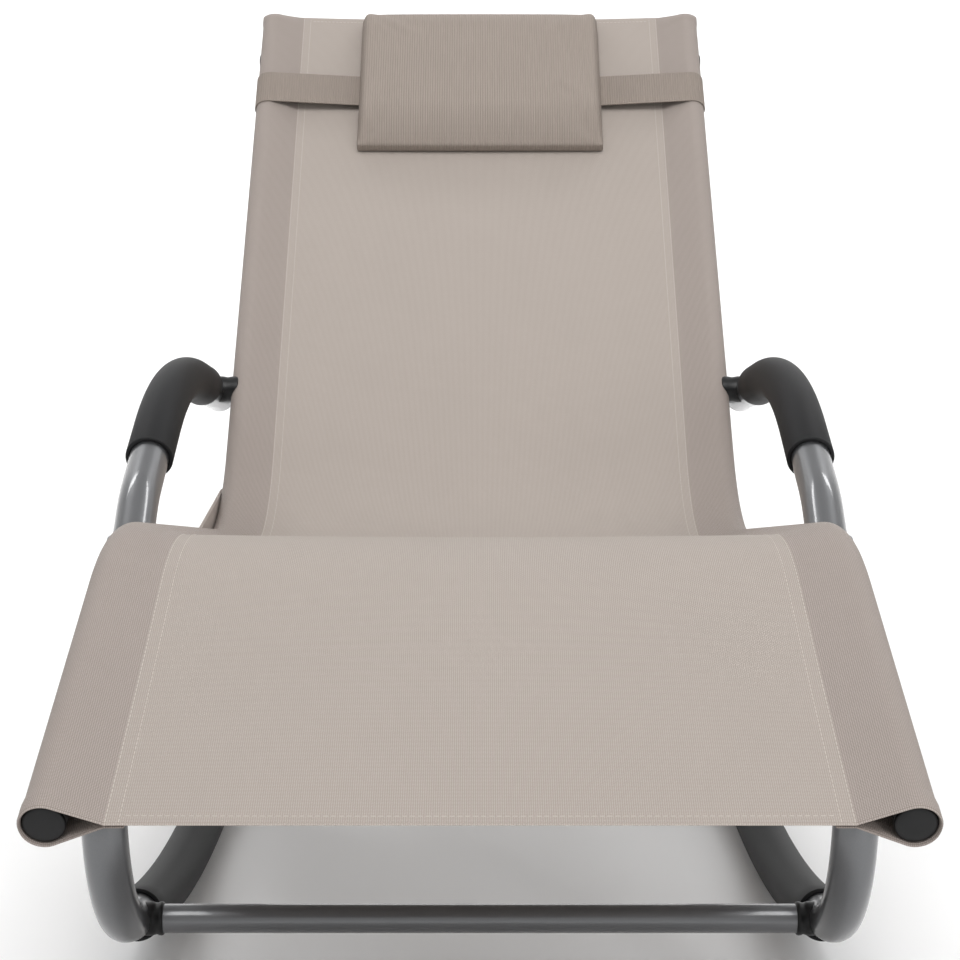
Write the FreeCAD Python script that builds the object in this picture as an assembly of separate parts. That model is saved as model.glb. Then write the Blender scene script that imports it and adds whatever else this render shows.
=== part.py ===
import FreeCAD, Part
import math
import os

from FreeCAD import Vector

# Rocking chaise lounge. Millimetres, +Z up, +X to the sitter's left, foot end towards -Y.
# The origin is on the floor, under the middle of the outline.

# Seat rails, in side view: a leg run, a thigh run and a back run, joined by two bends
rail_radius = 12.5
rail_wall = 1.5
rail_x = 242.5
seat_corner_height = 270.2
leg_run = 298.5
leg_rise = 20.0
thigh_run = 632.4
thigh_fall = 12.0
back_run = 748.6
back_rise = 44.5
rail_bend_radius = 200.0

# Side loops: arm, elbow, front leg, toe bend, runner, heel bend and riser in one tube
loop_radius = 17.0
loop_wall = 1.5
arm_joint_run = 193.0
arm_tail = 69.0
arm_run = 205.6
arm_fall = 13.1
shoulder_bend_radius = 371.0
elbow_run = 231.6
elbow_rise = 21.1
elbow_bend_radius = 211.0
front_leg_rise = 31.4
toe_bend_radius = 90.0
runner_bend_radius = 1200.0
runner_low_ahead = 123.4
runner_front_angle = 16.5
runner_rear_angle = 12.5
heel_bend_radius = 100.0
riser_heading = 93.2
riser_bend_radius = 100.0
riser_joint_run = 345.0
riser_half_lap = 60.0
riser_foot_lap = 100.0

# How far the loop stands off the rail at each joint, and how it toes in towards the heel
arm_gap = 8.2
leg_gap = 13.4
riser_gap = 9.0
shoulder_out = 1.6
runner_toe_in = 26.0
heel_toe_in = 12.5

# Foam on the loops: arm grips and runner sleeves, pressed flat where they bear on the floor
foam_radius = 20.75
foam_fit = 0.05
grip_back_gap = 31.0
grip_front_run = 155.5
sleeve_front_inset = 128.0
sleeve_rear_inset = 68.0
sole_flat = 0.5

# Crossbars between the loops, each end on the spigot of a saddle
bar_radius = 11.25
bar_wall = 1.5
bar_web = 6.4
bar_saddle_radius = 13.0
bar_spigot_length = 25.0

# Cross tubes under the rails
cross_radius = 9.5
cross_wall = 1.2
cross_web = 3.0
cross_overhang = 15.0
foot_cross_inset = 110.0
knee_cross_run = 150.0
head_cross_inset = 45.0

# Saddles and bolts
arm_saddle_radius = 16.0
small_saddle_radius = 11.0
riser_bolt_pitch = 70.0
bolt_radius = 3.0
bolt_fit = 0.25
bolt_tip = 6.0
head_radius = 6.5
head_height = 4.0
head_bevel = 2.0
thread_fit = 0.05
plug_fit = 0.1

# End caps
cap_flange = 3.0
cap_bevel = 1.6
cap_plug = 12.0

# Sling: one layer across the middle, a sewn sleeve round each rail
cloth = 1.0
sleeve_fit = 0.3
sleeve_width = 51.3
seam_allowance = 4.0
sling_over = 4.0
cloth_fit = 0.2

# Pillow and the strap that carries it
pillow_width = 276.0
pillow_height = 209.0
pillow_depth = 42.0
pillow_top_inset = 8.0
pillow_lift = 0.8
pillow_gusset = 12.0
strap_width = 46.0
strap_inset = 127.0
strap_thickness = 1.2
strap_fit = 0.4

# Side pocket on the sitter's right
pocket_rear_gap = 60.0
pocket_width = 200.0
pocket_depth = 176.0
pocket_rim_rise = 38.0
pocket_bulge = 20.0
pocket_cloth = 1.2
pocket_fit = 0.4


def along(angle):
    """Unit vector in the side view, heading rearwards and up by an angle in degrees."""
    turn = math.radians(angle)
    return Vector(0, math.cos(turn), math.sin(turn))


def at_x(point, x):
    return Vector(x, point.y, point.z)


def meet(p, p_angle, q, q_angle):
    """Where two lines of the side view cross."""
    u = along(p_angle)
    v = along(q_angle)
    gap = q - p
    reach = (gap.y * v.z - gap.z * v.y) / (u.y * v.z - u.z * v.y)
    return p + u * reach


def unit(vector):
    return vector * (1.0 / vector.Length)


def fillet_points(a, b, c, radius):
    """Start, middle and end of the arc that rounds the corner b."""
    u = unit(a - b)
    v = unit(c - b)
    half = u.getAngle(v) / 2
    run = radius / math.tan(half)
    centre = b + unit(u + v) * (radius / math.sin(half))
    middle = centre + unit(b - centre) * radius
    return b + u * run, middle, b + v * run


def bent_path(corners, radii):
    """Straight runs joined by tangent arcs."""
    edges = []
    start = corners[0]
    for index, radius in enumerate(radii):
        a, b, c = corners[index:index + 3]
        first, middle, last = fillet_points(a, b, c, radius)
        edges.append(Part.LineSegment(start, first).toShape())
        edges.append(Part.Arc(first, middle, last).toShape())
        start = last
    edges.append(Part.LineSegment(start, corners[-1]).toShape())
    return edges


def face_with_holes(outline, holes):
    return Part.Face([outline] + holes, "Part::FaceMakerBullseye")


def pipe(edges, radius, bore=0):
    """A round bar along a path, or a tube where it has a bore."""
    start = edges[0].valueAt(edges[0].FirstParameter)
    heading = edges[0].tangentAt(edges[0].FirstParameter)
    circles = [Part.Wire(Part.makeCircle(size, start, heading)) for size in (radius, bore) if size]
    return Part.Wire(edges).makePipe(face_with_holes(circles[0], circles[1:]))


def rod(start, end, radius):
    return Part.makeCylinder(radius, (end - start).Length, start, end - start)


def turned(profile, base, heading):
    """A turned body: its profile is a list of (distance along the heading, radius)."""
    points = [Vector(radius, 0, run) for run, radius in profile]
    body = Part.Face(Part.makePolygon(points + points[:1])).revolve(Vector(), Vector(0, 0, 1), 360)
    body.Placement = FreeCAD.Placement(base, FreeCAD.Rotation(Vector(0, 0, 1), heading))
    return body


def mirrored(shape):
    return shape.mirror(Vector(), Vector(1, 0, 0))


def both_sides(shapes):
    return shapes + [mirrored(shape) for shape in shapes]


def save(name, shape):
    shape.exportStep("parts/" + name + ".step")


def save_both(name, shapes):
    """One node for like pieces on the two sides."""
    save(name, Part.makeCompound(both_sides(shapes)))


def save_left_right(name, shape):
    """A node for each side; the sitter's left side is +X."""
    save(name + "_left", shape)
    save(name + "_right", mirrored(shape))


def reach_of_run(length, angle):
    """How far a run and the rounded end of its sleeve reach level."""
    edge = rail_radius + sleeve_fit + cloth
    return (along(angle) * (length + sling_over)).y + edge * math.sin(math.radians(angle))


# Stations in the side view, from the seat corner, which stands so that both ends reach equally far
reach_ahead = (along(thigh_fall) * thigh_run).y + reach_of_run(leg_run, leg_rise)
reach_behind = reach_of_run(back_run, back_rise)
seat_corner = Vector(0, (reach_ahead - reach_behind) / 2, seat_corner_height)
knee_corner = seat_corner - along(-thigh_fall) * thigh_run
foot_end = knee_corner - along(leg_rise) * leg_run
head_end = seat_corner + along(back_rise) * back_run
arm_joint = seat_corner + along(back_rise) * arm_joint_run
rail_corners = [foot_end, knee_corner, seat_corner, head_end]


def loop_stations():
    """Corners of the loop's centre line in the side view, and the joint at the thigh run."""
    tail = arm_joint + along(-arm_fall) * arm_tail
    shoulder = arm_joint - along(-arm_fall) * arm_run
    elbow = shoulder - along(elbow_rise) * elbow_run
    leg_joint = meet(elbow, front_leg_rise, seat_corner, -thigh_fall)
    axis_low = foam_radius - sole_flat
    centre = Vector(0, seat_corner.y - runner_low_ahead, axis_low + runner_bend_radius)
    runner_front = centre + along(-90 - runner_front_angle) * runner_bend_radius
    runner_rear = centre + along(-90 + runner_rear_angle) * runner_bend_radius
    toe = meet(elbow, front_leg_rise, runner_front, -runner_front_angle)
    belly = meet(runner_front, -runner_front_angle, runner_rear, runner_rear_angle)
    stand_off = rail_radius + riser_gap + loop_radius
    lap_middle = seat_corner + along(back_rise) * riser_joint_run + along(back_rise - 90) * stand_off
    riser_top = lap_middle - along(back_rise) * riser_foot_lap
    riser_end = lap_middle + along(back_rise) * riser_half_lap
    heel = meet(riser_top, riser_heading, runner_rear, runner_rear_angle)
    corners = [tail, shoulder, elbow, toe, belly, heel, riser_top, riser_end]
    return corners, leg_joint, lap_middle


def loop_corners():
    """The same corners at their distance from the middle plane."""
    corners, leg_joint, lap_middle = loop_stations()
    tail, shoulder, elbow, toe, belly, heel, riser_top, riser_end = corners
    arm_x = rail_x + rail_radius + arm_gap + loop_radius
    leg_x = rail_x + rail_radius + leg_gap + loop_radius
    shoulder_x = leg_x + shoulder_out
    tail_x = arm_x + (arm_x - shoulder_x) * arm_tail / arm_run
    splay = (leg_x - shoulder_x) / (leg_joint - elbow).Length
    toe_x = shoulder_x + splay * (toe - elbow).Length
    placed = [
        at_x(tail, tail_x),
        at_x(shoulder, shoulder_x),
        at_x(elbow, shoulder_x),
        at_x(toe, toe_x),
        at_x(belly, rail_x + runner_toe_in),
        at_x(heel, rail_x + heel_toe_in),
        at_x(riser_top, rail_x),
        at_x(riser_end, rail_x),
    ]
    return placed, at_x(arm_joint, arm_x), at_x(leg_joint, leg_x), at_x(lap_middle, rail_x)


loop_line, arm_seat, leg_seat, lap_seat = loop_corners()
loop_radii = [
    shoulder_bend_radius,
    elbow_bend_radius,
    toe_bend_radius,
    runner_bend_radius,
    heel_bend_radius,
    riser_bend_radius,
]
loop_path = bent_path(loop_line, loop_radii)
runner_arc = loop_path[7]
runner_start = runner_arc.valueAt(runner_arc.FirstParameter)
runner_end = runner_arc.valueAt(runner_arc.LastParameter)
loop_core = pipe(loop_path, loop_radius)


def rail_path(x, extra):
    """The rail's line at a distance from the middle plane, longer by extra at both ends."""
    corners = [at_x(corner, x) for corner in rail_corners]
    corners[0] = corners[0] - along(leg_rise) * extra
    corners[-1] = corners[-1] + along(back_rise) * extra
    return bent_path(corners, [rail_bend_radius, rail_bend_radius])


rail_core = pipe(rail_path(rail_x, 0), rail_radius)


def tangent_point(x, height, centre_x, radius):
    """Touching point, on the upper side, of a line from (x, height) to a circle on the rail's axis."""
    reach = math.hypot(centre_x - x, height)
    to_point = math.atan2(height, x - centre_x)
    turn = to_point - math.acos(radius / reach)
    return centre_x + radius * math.cos(turn), radius * math.sin(turn)


def section_point(across, up):
    """A point of the sling's section, drawn at the foot end square to the rails."""
    start = foot_end - along(leg_rise) * sling_over
    return start + Vector(across, 0, 0) + along(leg_rise + 90) * up


def section_line(p, q):
    return Part.LineSegment(section_point(*p), section_point(*q)).toShape()


def section_arc(p, q, r):
    return Part.Arc(section_point(*p), section_point(*q), section_point(*r)).toShape()


def sling_outline(grow):
    """Outline of the section, grown on all sides: a flat sheet that widens round each rail."""
    half = cloth / 2 + grow
    radius = rail_radius + sleeve_fit + cloth + grow
    seam = (rail_x + rail_radius + sleeve_fit + cloth - sleeve_width, half)
    touch = tangent_point(*seam, rail_x, radius)
    upper = [(-touch[0], touch[1]), (-seam[0], half), seam, touch]
    lower = [(across, -up) for across, up in reversed(upper)]
    edges = [section_line(p, q) for p, q in zip(upper, upper[1:])]
    edges.append(section_arc(upper[-1], (rail_x + radius, 0), lower[0]))
    edges += [section_line(p, q) for p, q in zip(lower, lower[1:])]
    edges.append(section_arc(lower[-1], (-rail_x - radius, 0), upper[0]))
    return Part.Wire(edges)


def sleeve_outline():
    """Outline of the teardrop space inside one sleeve, from its seam round the rail."""
    radius = rail_radius + sleeve_fit
    apex = (rail_x + radius + cloth - sleeve_width + seam_allowance, 0)
    touch = tangent_point(*apex, rail_x, radius)
    low = (touch[0], -touch[1])
    return Part.Wire([
        section_line(apex, touch),
        section_arc(touch, (rail_x + radius, 0), low),
        section_line(low, apex),
    ])


def sling_path():
    return Part.Wire(rail_path(0, sling_over))


sling_cover = sling_path().makePipe(Part.Face(sling_outline(cloth_fit)))


# Each cross tube: the point of the rail and the angle of the run that it lies under
cross_stations = {
    "foot_cross_tube": (foot_end + along(leg_rise) * foot_cross_inset, leg_rise),
    "knee_cross_tube": (knee_corner + along(-thigh_fall) * knee_cross_run, -thigh_fall),
    "head_cross_tube": (head_end - along(back_rise) * head_cross_inset, back_rise),
}


def under_joints():
    """Joints under the left rail: point on its axis, direction away from it, tube radius and gap."""
    joints = []
    for point, angle in cross_stations.values():
        gap = sleeve_fit + cloth + cross_web
        joints.append((at_x(point, rail_x), along(angle - 90), cross_radius, gap))
    return joints


def riser_joints():
    """Two joints where the riser lies behind the back run."""
    away = along(back_rise - 90)
    stand_off = rail_radius + riser_gap + loop_radius
    joints = []
    for side in (-0.5, 0.5):
        axis_point = lap_seat - away * stand_off + along(back_rise) * (side * riser_bolt_pitch)
        joints.append((axis_point, away, loop_radius, riser_gap))
    return joints


def side_joints():
    """The arm and the front leg cross the rail outside it."""
    away = Vector(1, 0, 0)
    return [
        (at_x(arm_seat, rail_x), away, loop_radius, arm_gap),
        (at_x(leg_seat, rail_x), away, loop_radius, leg_gap),
    ]


def rail_joints():
    return under_joints() + riser_joints() + side_joints()


def bolt(tip, crown):
    """A bolt from its tip to the crown of the tube that its head bears on."""
    shank = (crown - tip).Length
    profile = [
        (0, 0),
        (0, bolt_radius),
        (shank, bolt_radius),
        (shank, head_radius),
        (shank + head_height - head_bevel, head_radius),
        (shank + head_height, head_radius - head_bevel),
        (shank + head_height, 0),
    ]
    return turned(profile, tip, crown - tip)


def joint_bolt(joint):
    """Bolt through the outer tube and the saddle into the rail's wall."""
    point, away, radius, gap = joint
    return bolt(point + away * bolt_tip, point + away * (rail_radius + gap + 2 * radius))


def joint_hole(joint, radius):
    """Bolt hole through the outer tube, the saddle and the cloth, from the rail's axis."""
    point, away, tube_radius, gap = joint
    reach = rail_radius + gap + 2 * tube_radius + head_height
    return rod(point, point + away * reach, radius)


def joint_saddle(joint, radius, tube_core):
    """Plastic saddle between the covered rail and the outer tube, hollowed to both."""
    point, away, tube_radius, gap = joint
    start = point + away * (rail_radius / 2)
    end = point + away * (rail_radius + gap + tube_radius / 2)
    blank = rod(start, end, radius)
    return blank.cut(sling_cover).cut(tube_core).cut(joint_hole(joint, bolt_radius + bolt_fit))


def seat_rail():
    rail = pipe(rail_path(rail_x, 0), rail_radius, rail_radius - rail_wall)
    for joint in rail_joints():
        rail = rail.cut(joint_hole(joint, bolt_radius + thread_fit))
    return rail


def side_loop():
    loop = pipe(loop_path, loop_radius, loop_radius - loop_wall)
    for joint in riser_joints() + side_joints():
        loop = loop.cut(joint_hole(joint, bolt_radius + bolt_fit))
    reach = Vector(2 * loop_radius, 0, 0)
    for seat in (runner_start, runner_end):
        loop = loop.cut(rod(seat - reach, seat + reach, bolt_radius + bolt_fit))
    return loop


def foam_over(edges):
    """Foam sleeve on a stretch of the loop."""
    return pipe(edges, foam_radius, loop_radius + foam_fit)


def arm_grip():
    shoulder, elbow = loop_line[1:3]
    back = arm_seat + unit(shoulder - arm_seat) * grip_back_gap
    front = shoulder + unit(elbow - shoulder) * grip_front_run
    return foam_over(bent_path([back, shoulder, front], [shoulder_bend_radius]))


def runner_sleeve():
    first = runner_arc.getParameterByLength(sleeve_front_inset)
    last = runner_arc.getParameterByLength(runner_arc.Length - sleeve_rear_inset)
    sleeve = foam_over([runner_arc.Curve.toShape(first, last)])
    below = Part.makeBox(4 * foam_radius, 2 * runner_bend_radius, foam_radius,
                         Vector(runner_start.x - 2 * foam_radius, -runner_bend_radius, -foam_radius))
    return sleeve.cut(below)


def end_cap(end, outward, radius, wall):
    """Moulded cap: a bevelled flange with a plug in the tube's mouth."""
    profile = [
        (-cap_plug, 0),
        (-cap_plug, radius - wall - plug_fit),
        (0, radius - wall - plug_fit),
        (0, radius),
        (cap_flange - cap_bevel, radius),
        (cap_flange, radius - cap_bevel),
        (cap_flange, 0),
    ]
    return turned(profile, end, outward)


def bar_saddle(face, seat):
    """Saddle at the left end of a crossbar: a spigot in the bar, a web hollowed to the loop."""
    across = Vector(1, 0, 0)
    reach = bar_web + loop_radius / 2
    profile = [
        (-bar_spigot_length, bolt_radius + thread_fit),
        (-bar_spigot_length, bar_radius - bar_wall - plug_fit),
        (0, bar_radius - bar_wall - plug_fit),
        (0, bar_saddle_radius),
        (reach, bar_saddle_radius),
        (reach, bolt_radius + thread_fit),
    ]
    return turned(profile, face, across).cut(loop_core)


def crossbar_pieces(seat):
    """A bar between the loops, with the saddle and the bolt of its left end."""
    face = at_x(seat, seat.x - loop_radius - bar_web)
    bar = pipe([Part.LineSegment(at_x(face, -face.x), face).toShape()], bar_radius, bar_radius - bar_wall)
    tip = at_x(seat, face.x - bar_spigot_length + bolt_tip)
    crown = at_x(seat, seat.x + loop_radius)
    return bar, bar_saddle(face, seat), bolt(tip, crown)


def cross_line(point, angle):
    """Centre line of a cross tube under both rails, from right to left."""
    drop = rail_radius + sleeve_fit + cloth + cross_web + cross_radius
    centre = point + along(angle - 90) * drop
    reach = rail_x + cross_overhang
    return at_x(centre, -reach), at_x(centre, reach)


def make_rails():
    save_left_right("seat_rail", seat_rail())
    foot = end_cap(at_x(foot_end, rail_x), along(leg_rise) * -1, rail_radius, rail_wall)
    head = end_cap(at_x(head_end, rail_x), along(back_rise), rail_radius, rail_wall)
    save_both("rail_caps", [foot, head])


def make_loops():
    save_left_right("side_loop", side_loop())
    save_both("arm_grips", [arm_grip()])
    save_both("runner_sleeves", [runner_sleeve()])
    tail, shoulder = loop_line[:2]
    riser_top, riser_end = loop_line[-2:]
    arm_cap = end_cap(tail, unit(tail - shoulder), loop_radius, loop_wall)
    riser_cap = end_cap(riser_end, unit(riser_end - riser_top), loop_radius, loop_wall)
    save_both("loop_caps", [arm_cap, riser_cap])


def make_crossbars():
    saddles = []
    bolts = []
    for name, seat in (("front_crossbar", runner_start), ("rear_crossbar", runner_end)):
        bar, saddle, fixing = crossbar_pieces(seat)
        save(name, bar)
        saddles.append(saddle)
        bolts.append(fixing)
    save_both("crossbar_saddles", saddles)
    save_both("crossbar_bolts", bolts)


def make_cross_tubes():
    saddles = []
    bolts = []
    caps = []
    for name, joint in zip(cross_stations, under_joints()):
        right, left = cross_line(*cross_stations[name])
        line = [Part.LineSegment(right, left).toShape()]
        core = pipe(line, cross_radius)
        tube = pipe(line, cross_radius, cross_radius - cross_wall)
        for hole in both_sides([joint_hole(joint, bolt_radius + bolt_fit)]):
            tube = tube.cut(hole)
        save(name, tube)
        saddles.append(joint_saddle(joint, small_saddle_radius, core))
        bolts.append(joint_bolt(joint))
        caps.append(end_cap(left, Vector(1, 0, 0), cross_radius, cross_wall))
    save_both("cross_tube_saddles", saddles)
    save_both("cross_tube_bolts", bolts)
    save_both("cross_tube_caps", caps)


def make_loop_joints():
    arm, leg = side_joints()
    laps = riser_joints()
    save_both("arm_saddles", [joint_saddle(arm, arm_saddle_radius, loop_core)])
    save_both("leg_saddles", [joint_saddle(leg, small_saddle_radius, loop_core)])
    save_both("side_bolts", [joint_bolt(arm), joint_bolt(leg)])
    save_both("riser_saddles", [joint_saddle(lap, small_saddle_radius, loop_core) for lap in laps])
    save_both("riser_bolts", [joint_bolt(lap) for lap in laps])


def make_sling():
    right_sleeve = mirrored(sleeve_outline())
    sling = sling_path().makePipe(face_with_holes(sling_outline(0), [sleeve_outline(), right_sleeve]))
    for joint in rail_joints():
        for hole in both_sides([joint_hole(joint, bolt_radius + bolt_fit)]):
            sling = sling.cut(hole)
    save("sling", sling)


def back_point(across, down, up):
    """A point by its distance down from the rails' head ends and up from the sheet's middle."""
    return head_end + Vector(across, 0, 0) - along(back_rise) * down + along(back_rise + 90) * up


def pillow_section(across, draw, swell):
    """One section of the pillow: flat back, bottom gusset, crowned front, top seam."""
    top = pillow_top_inset + draw
    bottom = pillow_top_inset + pillow_height - draw
    middle = (top + bottom) / 2
    base = pillow_lift + pillow_depth * 0.3 * (1 - swell)
    seam = base + pillow_gusset * (0.4 + 0.6 * swell)
    crown = seam + (pillow_depth - pillow_gusset) * swell
    back = [back_point(across, top, base + 1), back_point(across, middle, base),
            back_point(across, bottom, base + 1)]
    front = [back_point(across, bottom, seam), back_point(across, middle, crown),
             back_point(across, top, seam)]
    return Part.Wire([
        Part.Arc(*back).toShape(),
        Part.LineSegment(back[2], front[0]).toShape(),
        Part.Arc(*front).toShape(),
        Part.LineSegment(front[2], back[0]).toShape(),
    ])


def make_pillow():
    """The pillow is fullest in the middle and drawn in at its side seams."""
    half = pillow_width / 2
    shares = [(-1.0, 7.0, 0.18), (-0.86, 1.5, 0.62), (-0.5, 0.5, 0.93), (0.0, 0.0, 1.0)]
    shares += [(-share, draw, swell) for share, draw, swell in reversed(shares[:-1])]
    sections = [pillow_section(share * half, draw, swell) for share, draw, swell in shares]
    pillow = Part.makeLoft(sections, True, True)
    save("pillow", pillow)
    save("pillow_strap", pillow_strap().cut(pillow))


def pillow_strap():
    """A band round both rails, open in front where the pillow's side seams hold it."""
    inner = rail_radius + sleeve_fit + cloth + strap_fit
    outer = inner + strap_thickness

    def loop(radius):
        low = strap_inset + strap_width / 2
        corner = [(-rail_x, radius), (rail_x, radius), (rail_x, -radius), (-rail_x, -radius)]
        tl, tr, br, bl = [back_point(x, low, up) for x, up in corner]
        right = back_point(rail_x + radius, low, 0)
        left = back_point(-rail_x - radius, low, 0)
        wire = Part.Wire([
            Part.LineSegment(tl, tr).toShape(),
            Part.Arc(tr, right, br).toShape(),
            Part.LineSegment(br, bl).toShape(),
            Part.Arc(bl, left, tl).toShape(),
        ])
        return Part.Face(wire).extrude(along(back_rise) * strap_width)

    band = loop(outer).cut(loop(inner))
    open_half = pillow_width / 2 + strap_fit
    corners = [back_point(x, strap_inset + strap_width, up) for x, up in
               ((-open_half, 1), (open_half, 1), (open_half, outer * 2), (-open_half, outer * 2))]
    gap = Part.Face(Part.makePolygon(corners + corners[:1])).extrude(along(back_rise) * strap_width * 2)
    return band.cut(gap)


def pocket_section(height, bulge, inset):
    """One level section of the pocket: straight against the sling, bowed outside."""
    back_x = -(rail_x + rail_radius + sleeve_fit + cloth + pocket_fit + inset)
    rear = Vector(back_x, seat_corner.y + pocket_rear_gap - inset, height)
    front = rear - Vector(0, pocket_width - 2 * inset, 0)
    belly = Vector(back_x - bulge, (front.y + rear.y) / 2, height)
    return Part.Wire([Part.LineSegment(front, rear).toShape(), Part.Arc(rear, belly, front).toShape()])


def make_pocket():
    bottom = seat_corner.z + pocket_rim_rise - pocket_depth
    levels = [(0.0, 0.45), (0.35, 1.0), (1.0, 0.85)]
    outer = [pocket_section(bottom + share * pocket_depth, pocket_bulge * full, 0)
             for share, full in levels]
    inner = [pocket_section(bottom + pocket_cloth + share * pocket_depth,
                            pocket_bulge * full - 2 * pocket_cloth, pocket_cloth)
             for share, full in levels]
    pocket = Part.makeLoft(outer, True, True).cut(Part.makeLoft(inner, True, True))
    save("side_pocket", pocket)


os.makedirs("parts", exist_ok=True)
make_rails()
make_loops()
make_crossbars()
make_cross_tubes()
make_loop_joints()
make_sling()
make_pillow()
make_pocket()
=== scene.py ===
import math

import bpy
import numpy as np
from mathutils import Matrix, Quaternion, Vector


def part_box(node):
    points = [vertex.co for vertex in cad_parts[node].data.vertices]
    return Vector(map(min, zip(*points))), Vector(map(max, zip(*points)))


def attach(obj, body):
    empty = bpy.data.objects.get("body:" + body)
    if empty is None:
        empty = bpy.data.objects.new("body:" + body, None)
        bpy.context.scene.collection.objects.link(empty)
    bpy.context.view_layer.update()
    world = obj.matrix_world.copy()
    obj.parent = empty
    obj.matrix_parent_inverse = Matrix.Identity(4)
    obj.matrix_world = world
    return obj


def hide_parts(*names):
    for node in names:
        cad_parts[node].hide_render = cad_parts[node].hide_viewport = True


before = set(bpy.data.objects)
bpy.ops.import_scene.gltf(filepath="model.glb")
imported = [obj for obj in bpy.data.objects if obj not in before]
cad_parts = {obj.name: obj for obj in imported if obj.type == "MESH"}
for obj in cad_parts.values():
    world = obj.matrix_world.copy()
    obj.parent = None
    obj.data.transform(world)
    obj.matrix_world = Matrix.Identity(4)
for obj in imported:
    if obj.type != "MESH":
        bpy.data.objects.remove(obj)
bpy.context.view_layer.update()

# Rocking chaise lounge, dressed on its CAD frame and worked out from the same driving sizes. Metres and
# degrees, +Z up, foot end towards -Y. Pieces are made on the sitter's left, which is +X, and mirrored.

# Seat rails, in side view: a leg run, a thigh run and a back run, joined by two bends, with the outer radius
# of the sleeves round them and how far the tubes stop short of the head
RAIL_X = 0.2425
RAIL_RADIUS = 0.0125
WALL = 0.0015
SEAT_HEIGHT = 0.2702
LEG_RUN = 0.2985
LEG_RISE = 20.0
THIGH_RUN = 0.6324
THIGH_FALL = 12.0
BACK_RUN = 0.7486
BACK_RISE = 44.5
RAIL_BEND = 0.200
SLEEVE_OUTSIDE = 0.0138
HEAD_SHORT = 0.011

# Side loops, in side view: arm, elbow, front leg, runner, and the riser that laps the back run
LOOP_RADIUS = 0.017
ARM_JOINT_RUN = 0.193
ARM_TAIL = 0.069
ARM_RUN = 0.2056
ARM_FALL = 13.1
ELBOW_RUN = 0.2316
ELBOW_RISE = 21.1
FRONT_LEG_RISE = 31.4
RUNNER_RADIUS = 1.200
RUNNER_LOW_AHEAD = 0.1234
RUNNER_FRONT_ANGLE = 16.5
RUNNER_REAR_ANGLE = 12.5
RISER_HEADING = 93.2
RISER_JOINT_RUN = 0.345
RISER_HALF_LAP = 0.060
RISER_FOOT_LAP = 0.100
LOOP_BENDS = [0.371, 0.211, 0.090, RUNNER_RADIUS, 0.100, 0.100]

# How far the loop stands off the rail at each joint, and how it toes in towards the heel
ARM_GAP = 0.0082
LEG_GAP = 0.0134
RISER_GAP = 0.009
SHOULDER_OUT = 0.0016
RUNNER_TOE_IN = 0.026
HEEL_TOE_IN = 0.0125

# Foam on the loops: its skin, pressed flat on the floor, its fit on the tube and its ends
FOAM_RADIUS = 0.02075
SOLE_FLAT = 0.0005
FOAM_FIT = 0.0001
FOAM_EDGE = 0.0012
GRIP_BACK_GAP = 0.0435
GRIP_FRONT_RUN = 0.167
SLEEVE_START_INSET = 0.025
SLEEVE_END_INSET = 0.030

# Crossbars between the loops and cross tubes under the rails
BAR_RADIUS = 0.01125
BAR_WEB = 0.0064
CROSS_TUBES = ("foot", "knee", "head")
CROSS_RADIUS = 0.0095
CROSS_WALL = 0.0012
CROSS_GAP = 0.0043
CROSS_OVERHANG = 0.015
FOOT_TUBE_INSET = 0.110
KNEE_TUBE_RUN = 0.150
HEAD_TUBE_INSET = 0.045

# Saddles, bolts and caps
RISER_BOLT_PITCH = 0.070
ARM_SADDLE = 0.0135
SMALL_SADDLE = 0.0110
BOLT_RADIUS = 0.003
BOLT_TIP = 0.006
BOLT_HEAD = 0.0065
BAR_BOLT = 0.0594
SOCKET_RADIUS = 0.0023
SOCKET_DEPTH = 0.005
CAP_PLUG = 0.012
CAP_FIT = 0.0002
SADDLE_FIT = 0.0001

# Sling: its cloth, its plain middle, the sleeves' seams and the hems. Its rows are closer at the head, where
# the sleeves close.
CLOTH = 0.00085
YARN_PITCH = 0.00125
SLING_OVER = 0.004
SLEEVE_RADIUS = 0.0133
MIDDLE_HALF = 0.196
SEAM = 0.2085
SEAM_SIDE = (0.1985, 0.2005, 0.2025, 0.2045, 0.2065)
HEM_UNDER = 0.1975
FOLD = 0.012
FOLD_EDGE = 0.0015
HEM_FULL = 0.012
HEM_END = 0.020
LAYER_GAP = 0.00095
PITCH = 0.008
HEAD_CLOSE = 0.016
HEAD_ROWS = (0.016, 0.013, 0.010, 0.0075, 0.0055, 0.004, 0.0026)

# How far the sling lies above and below the rails' axes
FOOT_LIFT = 0.0020
KNEE_LIFT = 0.0034
KNEE_REACH = 0.12
MIDDLE_SAG = 0.0025
HEAD_SAG = 0.0040
HEAD_SAG_REACH = 0.05

# Stitches: one of them, their pitch and the rows across the sling
STITCH = (0.0006, 0.0030, 0.0005)
STITCH_PITCH = 0.0044
SEAM_ROWS = (-0.2082, -0.2005, 0.2005, 0.2082)
HEM_ROW = 0.007
ROW_ENDS = 0.003

# Pillow: its panels, its border at the top and lower down, how its edges roll, and how it fills
PILLOW_WIDTH = 0.276
PILLOW_HEIGHT = 0.209
PILLOW_TOP = 0.008
PILLOW_FULL = 0.035
PILLOW_BACK = 0.0010
TOP_BORDER = 0.006
PILLOW_BORDER = 0.012
BORDER_GROWS = 0.03
BORDER_SWELL = 0.0006
SIDE_ROLL = 0.009
TOP_ROLL = 0.038
LOW_ROLL = 0.046
SWELL_SHARE = 0.35
SWELL_CAP = 0.004
SWELL_FRAMES = 20
BACK_CLEAR = 0.0008
FACE_SEAM_UP = 0.0115
SEAM_CREASE = 0.9

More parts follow.
